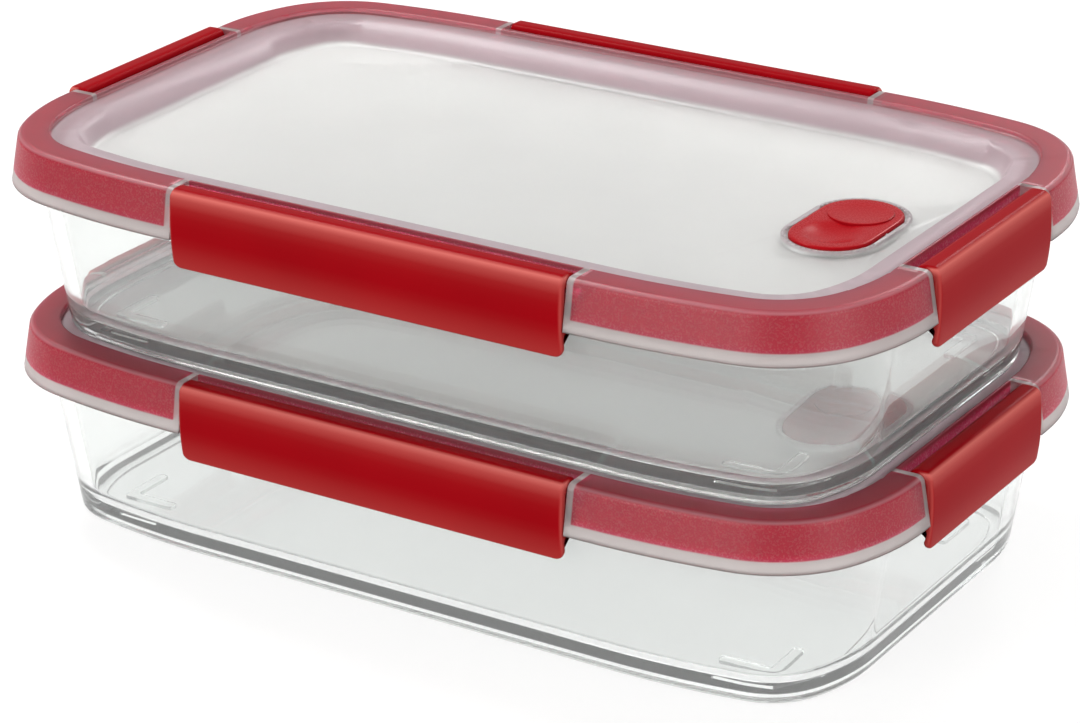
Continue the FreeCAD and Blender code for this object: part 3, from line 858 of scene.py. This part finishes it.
@dataclass
class Latch:
    """One side's latch: a bowed face with a rounded crest, a hinge barrel and a hook."""

    tier: Tier
    side: Side
    outline: Outline
    length: float = field(init=False)
    rim_z: float = LID_TOP
    rise: float = 0.7
    drop: float = 23.0
    face: float = 3.9
    bow: float = 1.4
    face_radius: float = 80.0
    relief: float = 0.7
    relief_round: float = 2.0
    inner_face: float = 1.1
    axis_inset: float = 1.5
    axis_drop: float = 1.9
    barrel: float = 2.5
    barrel_start: float = -30.0
    barrel_sweep: float = -240.0
    barrel_lead: Pair = (0.6, 0.02)
    lip_inset: float = 1.4
    lip_z: float = 48.2
    lip_angle: float = 50.0
    hook_gap: float = 0.45
    hook_grip: float = 1.2
    hook_foot: float = 2.0
    hook_rounds: Triple = (0.3, 0.15, 0.2)
    toe_round: float = 0.9
    corner: float = 3.0
    corner_reach: float = 8.0
    corner_blend: float = 7.0
    top_corner: float = 1.2
    top_reach: float = 2.0
    top_blend: float = 1.5
    end_round: float = 1.0
    crest: float = 2.6
    gaps: tuple[float, ...] = (0.0, 0.06, 0.15, 0.3, 0.5, 0.75, 1.0, 1.4, 1.9, 2.4, 3.0, 5.0)
    # Painted highlights along the crest and ends, and painted lighter shade toward the toe.
    wear: Wear = Wear()

    BARREL_STEPS = 24

    def __post_init__(self) -> None:
        """Reads the latch's length from its node."""
        low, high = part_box(f"{self.tier.value}_{self.side.word}_latch")
        self.length = (high - low)[0 if self.side.is_long else 1] / MM

    def section(self) -> Section:
        """Draws the latch's section, from the crest down the face, round the toe and hook to the barrel.

        Returns:
            The section's points.
        """
        lean = math.radians(self.lip_angle)
        top, toe, axis = self.rim_z + self.rise, self.rim_z - self.drop, self.rim_z - self.axis_drop
        hook_u = -self.lip_inset + self.hook_gap * math.sin(lean)
        hook_z = self.lip_z - self.hook_gap * math.cos(lean)
        tip_u = -self.lip_inset - self.hook_grip
        tip_z = hook_z - (hook_u - tip_u) * math.tan(lean)
        foot_round, tip_round, catch_round = self.hook_rounds
        plate = rounded([
            (-self.axis_inset + self.barrel_lead[0], axis + self.barrel + self.barrel_lead[1]),
            (self.face - self.bow / 2, top, self.crest),
            (self.face + self.bow / 2, (top + toe) / 2, self.face_radius),
            (self.face - self.bow / 2, toe, self.toe_round),
            (self.inner_face, toe, self.toe_round),
            (self.inner_face + self.relief, (toe + tip_z - self.hook_foot) / 2, self.relief_round),
            (self.inner_face, tip_z - self.hook_foot, foot_round),
            (tip_u, tip_z - self.hook_gap, tip_round),
            (tip_u, tip_z, tip_round),
            (hook_u, hook_z, catch_round),
            (self.inner_face, hook_z, catch_round),
            (self.inner_face, axis - self.barrel / 2),
        ], closed=False)
        for step in range(self.BARREL_STEPS + 1):
            turn = math.radians(self.barrel_start + self.barrel_sweep * step / self.BARREL_STEPS)
            u = -self.axis_inset + self.barrel * math.cos(turn)
            plate.append((u, axis + self.barrel * math.sin(turn)))
        return plate

    def eased(self, section: Section, gap: float) -> Points:
        """Eases a section near the latch's end: rounded corners in front and a rounded edge all round.

        Args:
            section: The section to ease.
            gap: Distance from the latch's end in millimetres.

        Returns:
            The eased points as (u, z).
        """
        def fall(radius: float) -> float:
            """Gives how far a rounded corner of that radius has fallen away here."""
            return radius - math.sqrt(radius ** 2 - (radius - gap) ** 2) if gap < radius else 0.0

        top, toe = self.rim_z + self.rise, self.rim_z - self.drop
        points = [Vector(p) for p in section]
        turned = []
        for k, here in enumerate(points):
            along = points[(k + 1) % len(points)] - points[k - 1]
            inwards = Vector((along.y, -along.x)).normalized() if along.length else Vector((0, 0))
            turned.append(here + inwards * fall(self.end_round))
        for here in turned:
            low = toe + self.corner_reach - here.y
            if low > 0:
                here.y += fall(self.corner) * min(1.0, low / self.corner_blend)
            high = here.y - top + self.top_reach
            if high > 0 and here.x > 0:
                here.y -= fall(self.top_corner) * min(1.0, high / self.top_blend)
        return turned

    def build(self) -> Piece:
        """Models the latch by drawing its section along the side.

        Returns:
            The latch.
        """
        half = self.length / 2
        reach = self.outline.half_width if self.side.is_long else self.outline.half_length
        turn = Matrix.Rotation(math.radians(self.side.value), 3, "Z")
        run = [(gap - half, gap) for gap in self.gaps]
        run += [(-x, gap) for x, gap in reversed(run)]
        section = self.section()
        foot = self.tier.foot
        loops = []
        for x, gap in run:
            eased = self.eased(section, gap)
            loops.append([turn @ Vector((x, -reach - p.x, foot + p.y)) * MM for p in eased])
        latch = Bench.drawn_out(f"{self.tier.value}_{self.side.word}_latch_piece", loops)
        Bench.bore(latch, f"{self.tier.value}_{self.side.word}_hinge_pin", 0 if self.side.is_long else 1)
        Bench.smooth(latch, angle=38.0)
        # Painted highlight: each point's share of the lighter colour, along the crest and ends, and as
        # lighter shade toward the toe.
        highlight_paint = latch.data.attributes.new("highlight_paint", "FLOAT", "POINT")
        for vert, note in zip(latch.data.vertices, highlight_paint.data):
            here = turn.transposed() @ vert.co / MM
            note.value = self.painted_highlight(half - abs(here.x), -here.y - reach, here.z - foot)
        return latch

    def painted_highlight(self, gap: float, u: float, z: float) -> float:
        """Gives how far a point of the face is painted lighter: a painted highlight at the crest and the
        ends, a painted lighter shade toward the toe.

        Args:
            gap: Distance from the latch's end in millimetres.
            u: Offset from the outline in millimetres.
            z: Height above the foot in millimetres.

        Returns:
            The share of painted highlight colour, 0 to 1.
        """
        wear = self.wear
        if u < wear.face_from:
            return 0.0
        down = self.rim_z + self.rise - wear.crest_line - z
        crest = math.exp(-down / wear.crest_fade) if down > 0 else 1 + down / wear.crest_rise
        if u <= wear.front_from:
            return max(0.0, wear.crest_most * crest)
        end = wear.end_most * (1 - abs(gap - wear.end_line) / wear.end_fade)
        toe = wear.toe_most * (1 - (self.drop - self.rim_z + z) / wear.toe_fade)
        return max(0.0, wear.crest_most * crest, end, toe)

    def dress(self) -> None:
        """Builds the latch and finishes its hinge pin."""
        name = f"{self.tier.value}_{self.side.word}"
        Bench.fit(self.build(), f"{name}_latch", f"{name}_latch", LATCH)
        keep_node(f"{name}_hinge_pin", STEEL)


@dataclass
class VentButton:
    """One rocking steam vent: a pill with a finger dish in front and a raised disc behind."""

    tier: Tier
    foot_edge: tuple[Pair, ...] = ((1.0, 0.0), (0.3, 0.0), (0.0, 0.3))
    edge: float = 0.9
    dish_depth: float = 1.5
    dish_radius: float = 26.0
    dish_span: float = 25.0
    dish_soft: float = 0.2
    disc: float = 19.0
    disc_root: float = 0.6
    disc_rise: float = 0.5
    disc_round: float = 0.3
    disc_ease: float = 0.09
    disc_land: float = 0.7
    disc_hollow: float = 0.45

    EDGE_STEPS = 6
    TOP_STEPS = 26
    ARC_STEPS = 48
    SIDE_STEPS = 31  # odd, so that no point of the sides falls on the lowest line of the bore
    DISC_SIDES = 72
    DISC_STEPS = 8
    DISC_SHRINK = 8.4  # more than the steps, so that the last loop keeps some width

    def build(self) -> Piece:
        """Models the pill in shrinking loops, sinks its finger dish and sets the disc on it.

        Returns:
            The vent button.
        """
        low, high = (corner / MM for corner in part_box(f"{self.tier.value}_vent_button"))
        middle, half = (low + high) / 2, (high - low) / 2
        reach, top = half.y - half.x, high.z - self.disc_rise
        loops = []
        for inset, lift in self.foot_edge:
            loops.append(self.pill(middle, half.x - inset, reach, lambda p, z=low.z + lift: z))
        for step in range(self.EDGE_STEPS + 1):
            turn = math.radians(90 * step / self.EDGE_STEPS)
            inset, z = self.edge * (1 - math.cos(turn)), top - self.edge * (1 - math.sin(turn))
            loops.append(self.pill(middle, half.x - inset, reach, lambda p, z=z: z))
        for step in range(1, self.TOP_STEPS + 1):
            width = (half.x - self.edge) * (1 - step / self.TOP_STEPS)
            loops.append(self.pill(middle, width, reach, lambda p: self.sunk(p, middle, reach, top)))
        button = Bench.drawn_out(f"{self.tier.value}_vent_rocker", loops, spine=True)
        Bench.bore(button, f"{self.tier.value}_vent_pin", 0)
        Bench.combine(button, Bench.traced("plug_seat", f"{self.tier.value}_vent_plug"), "DIFFERENCE")
        Bench.smooth(button, angle=40.0)
        plate = self.plate(Vector((middle.x, middle.y + reach, top)))
        Bench.pick(button, plate)
        bpy.ops.object.join()
        return button

    def pill(self, middle: Vector, width: float, reach: float, rise: Callable[[Vector], float]) -> Points:
        """Gives a pill-shaped loop, long in Y.

        Args:
            middle: Middle of the button in millimetres.
            width: Half the pill's width.
            reach: Half the length of its straight sides.
            rise: Gives the height of a point.

        Returns:
            The loop's points in metres.
        """
        walk = []
        for end in (1, -1):
            for k in range(self.ARC_STEPS + 1):
                turn = math.pi * k / self.ARC_STEPS
                walk.append((end * width * math.cos(turn), end * (reach + width * math.sin(turn))))
            for k in range(1, self.SIDE_STEPS):
                walk.append((-end * width, end * reach * (1 - 2 * k / self.SIDE_STEPS)))
        spots = [Vector((middle.x + x, middle.y + y, 0)) for x, y in walk]
        return [Vector((spot.x, spot.y, rise(spot))) * MM for spot in spots]

    def sunk(self, spot: Vector, middle: Vector, reach: float, top: float) -> float:
        """Gives the height of the top face, sunk softly where the finger dish is."""
        away = min(math.hypot(spot.x - middle.x, spot.y - middle.y + reach), self.dish_span)
        depth = self.dish_depth - self.dish_radius + math.sqrt(self.dish_radius ** 2 - away ** 2)
        return top - self.dish_soft * math.log1p(math.exp(depth / self.dish_soft))

    def plate(self, foot: Vector) -> Piece:
        """Models the raised disc with a rounded edge and a slightly hollow face.

        Args:
            foot: Middle of the disc where it meets the button's top, in millimetres.

        Returns:
            The disc.
        """
        radius, rise = self.disc / 2, self.disc_rise
        edge = [(0.0, -self.disc_root), (0.0, rise - self.disc_round),
                (self.disc_ease, rise - self.disc_ease), (self.disc_round, rise)]
        for step in range(1, self.DISC_STEPS + 1):
            share = 1 - step / self.DISC_SHRINK
            inset = radius - (radius - self.disc_land) * share
            edge.append((inset, rise - self.disc_hollow * (1 - share ** 2)))
        loops = []
        for inset, z in edge:
            loop = []
            for k in range(self.DISC_SIDES):
                turn = math.tau * k / self.DISC_SIDES
                out = Vector((math.cos(turn), math.sin(turn), 0)) * (radius - inset)
                loop.append((foot + out + Vector((0, 0, z))) * MM)
            loops.append(loop)
        disc = Bench.drawn_out("vent_disc", loops)
        Bench.smooth(disc, angle=40.0)
        return disc

    def dress(self) -> None:
        """Builds the button and puts it in place of its node."""
        word = self.tier.value
        Bench.fit(self.build(), f"{word}_vent_button", f"{word}_vent_button", VENT)


@dataclass(frozen=True)
class Softbox:
    """One square studio light: its place and size in metres and its power in watts."""

    name: str
    spot: Triple
    size: float
    power: float


@dataclass
class Studio:
    """Plain pale floor, soft light and the camera at the photograph's angle.

    The camera's distance and target are in millimetres and its focal length in the photograph's pixels.
    The floor and the lights are in metres.
    """

    azimuth: float = 32.223
    elevation: float = 22.909
    roll: float = -0.354
    distance: float = 1111.108
    focal: float = 3666.682
    frame_width: float = 1080.0
    sensor: float = 36.0
    clip: Pair = (0.01, 50.0)
    target: Triple = (-2.414, 3.362, 48.967)
    floor_size: float = 24.0
    floor_gap: float = 0.2 * MM
    light_aim: Triple = (0.0, 0.0, 0.06)
    horizon: float = 0.55
    zenith: float = 0.8
    zenith_from: float = 0.6
    softboxes: tuple[Softbox, ...] = (
        Softbox("softbox_over", (-0.62, 0.12, 1.05), 0.25, 9.0),
        Softbox("softbox_back", (0.0, 1.1, 0.85), 0.3, 5.0),
        Softbox("softbox_front", (-0.2, -1.6, 0.55), 1.3, 20.0),
        Softbox("softbox_right", (1.6, -0.3, 0.5), 1.0, 13.0),
    )

    def build(self) -> None:
        """Builds the floor, the lights, the surround and the camera."""
        self.floor()
        self.lights()
        self.surround()
        self.camera()

    def floor(self) -> None:
        """Lays the paper a hair under the stack."""
        Bench.clear()
        bpy.ops.mesh.primitive_plane_add(size=self.floor_size, location=(0, 0, -self.floor_gap))
        paper = bpy.context.object
        paper.name = "studio_floor"
        bpy.ops.object.transform_apply(location=True)
        paper.data.materials.append(PAPER.made())

    def lights(self) -> None:
        """Hangs the softboxes."""
        for box in self.softboxes:
            lamp = bpy.data.lights.new(box.name, "AREA")
            lamp.shape = "SQUARE"
            lamp.size = box.size
            lamp.energy = box.power
            held = bpy.data.objects.new(box.name, lamp)
            held.location = box.spot
            aim = Vector(self.light_aim) - held.location
            held.rotation_euler = aim.to_track_quat("-Z", "Y").to_euler()
            bpy.context.scene.collection.objects.link(held)

    def surround(self) -> None:
        """Sets the white surround, brighter overhead than at the horizon."""
        world = bpy.data.worlds.new("studio_surround")
        world.use_nodes = True
        tree = world.node_tree
        ground = tree.nodes["Background"]
        ground.inputs["Color"].default_value = linear("#FFFFFF")
        way = add_node(tree, "ShaderNodeTexCoord").outputs["Generated"]
        height = add_node(tree, "ShaderNodeSeparateXYZ", {0: way}).outputs["Z"]
        sky = ramp(tree, height, (0.0, self.zenith_from), (self.horizon, self.zenith), soft=True)
        tree.links.new(sky, ground.inputs["Strength"])
        bpy.context.scene.world = world
        bpy.context.scene.view_settings.view_transform = "Standard"

    def camera(self) -> None:
        """Sets the camera where the photograph was taken from."""
        turn, lift = math.radians(self.azimuth), math.radians(self.elevation)
        back = Vector((math.sin(turn) * math.cos(lift), -math.cos(turn) * math.cos(lift), math.sin(lift)))
        right = (-back).cross(Vector((0, 0, 1))).normalized()
        over = back.cross(right)
        tilt = math.radians(self.roll)
        across = right * math.cos(tilt) + over * math.sin(tilt)
        upright = over * math.cos(tilt) - right * math.sin(tilt)
        lens = bpy.data.cameras.new("photo_camera")
        lens.sensor_width = self.sensor
        lens.lens = self.focal / self.frame_width * lens.sensor_width
        lens.clip_start, lens.clip_end = self.clip
        held = bpy.data.objects.new("photo_camera", lens)
        axes = Matrix((across, upright, back)).transposed().to_4x4()
        held.matrix_world = Matrix.Translation((Vector(self.target) + back * self.distance) * MM) @ axes
        bpy.context.scene.collection.objects.link(held)
        bpy.context.scene.camera = held


def main() -> None:
    """Builds the stack's pieces in order and reports each one."""
    logging.basicConfig(level=logging.INFO, format="%(message)s")
    outline = read_outline(flare=SKIRT_FLARE)
    for tier in Tier:
        GlassDish(tier, outline).dress()
        Lid(tier, outline).dress()
        for side in Side:
            Latch(tier, side, outline).dress()
        VentButton(tier).dress()
    Studio().build()


if __name__ == "__main__":
    main()
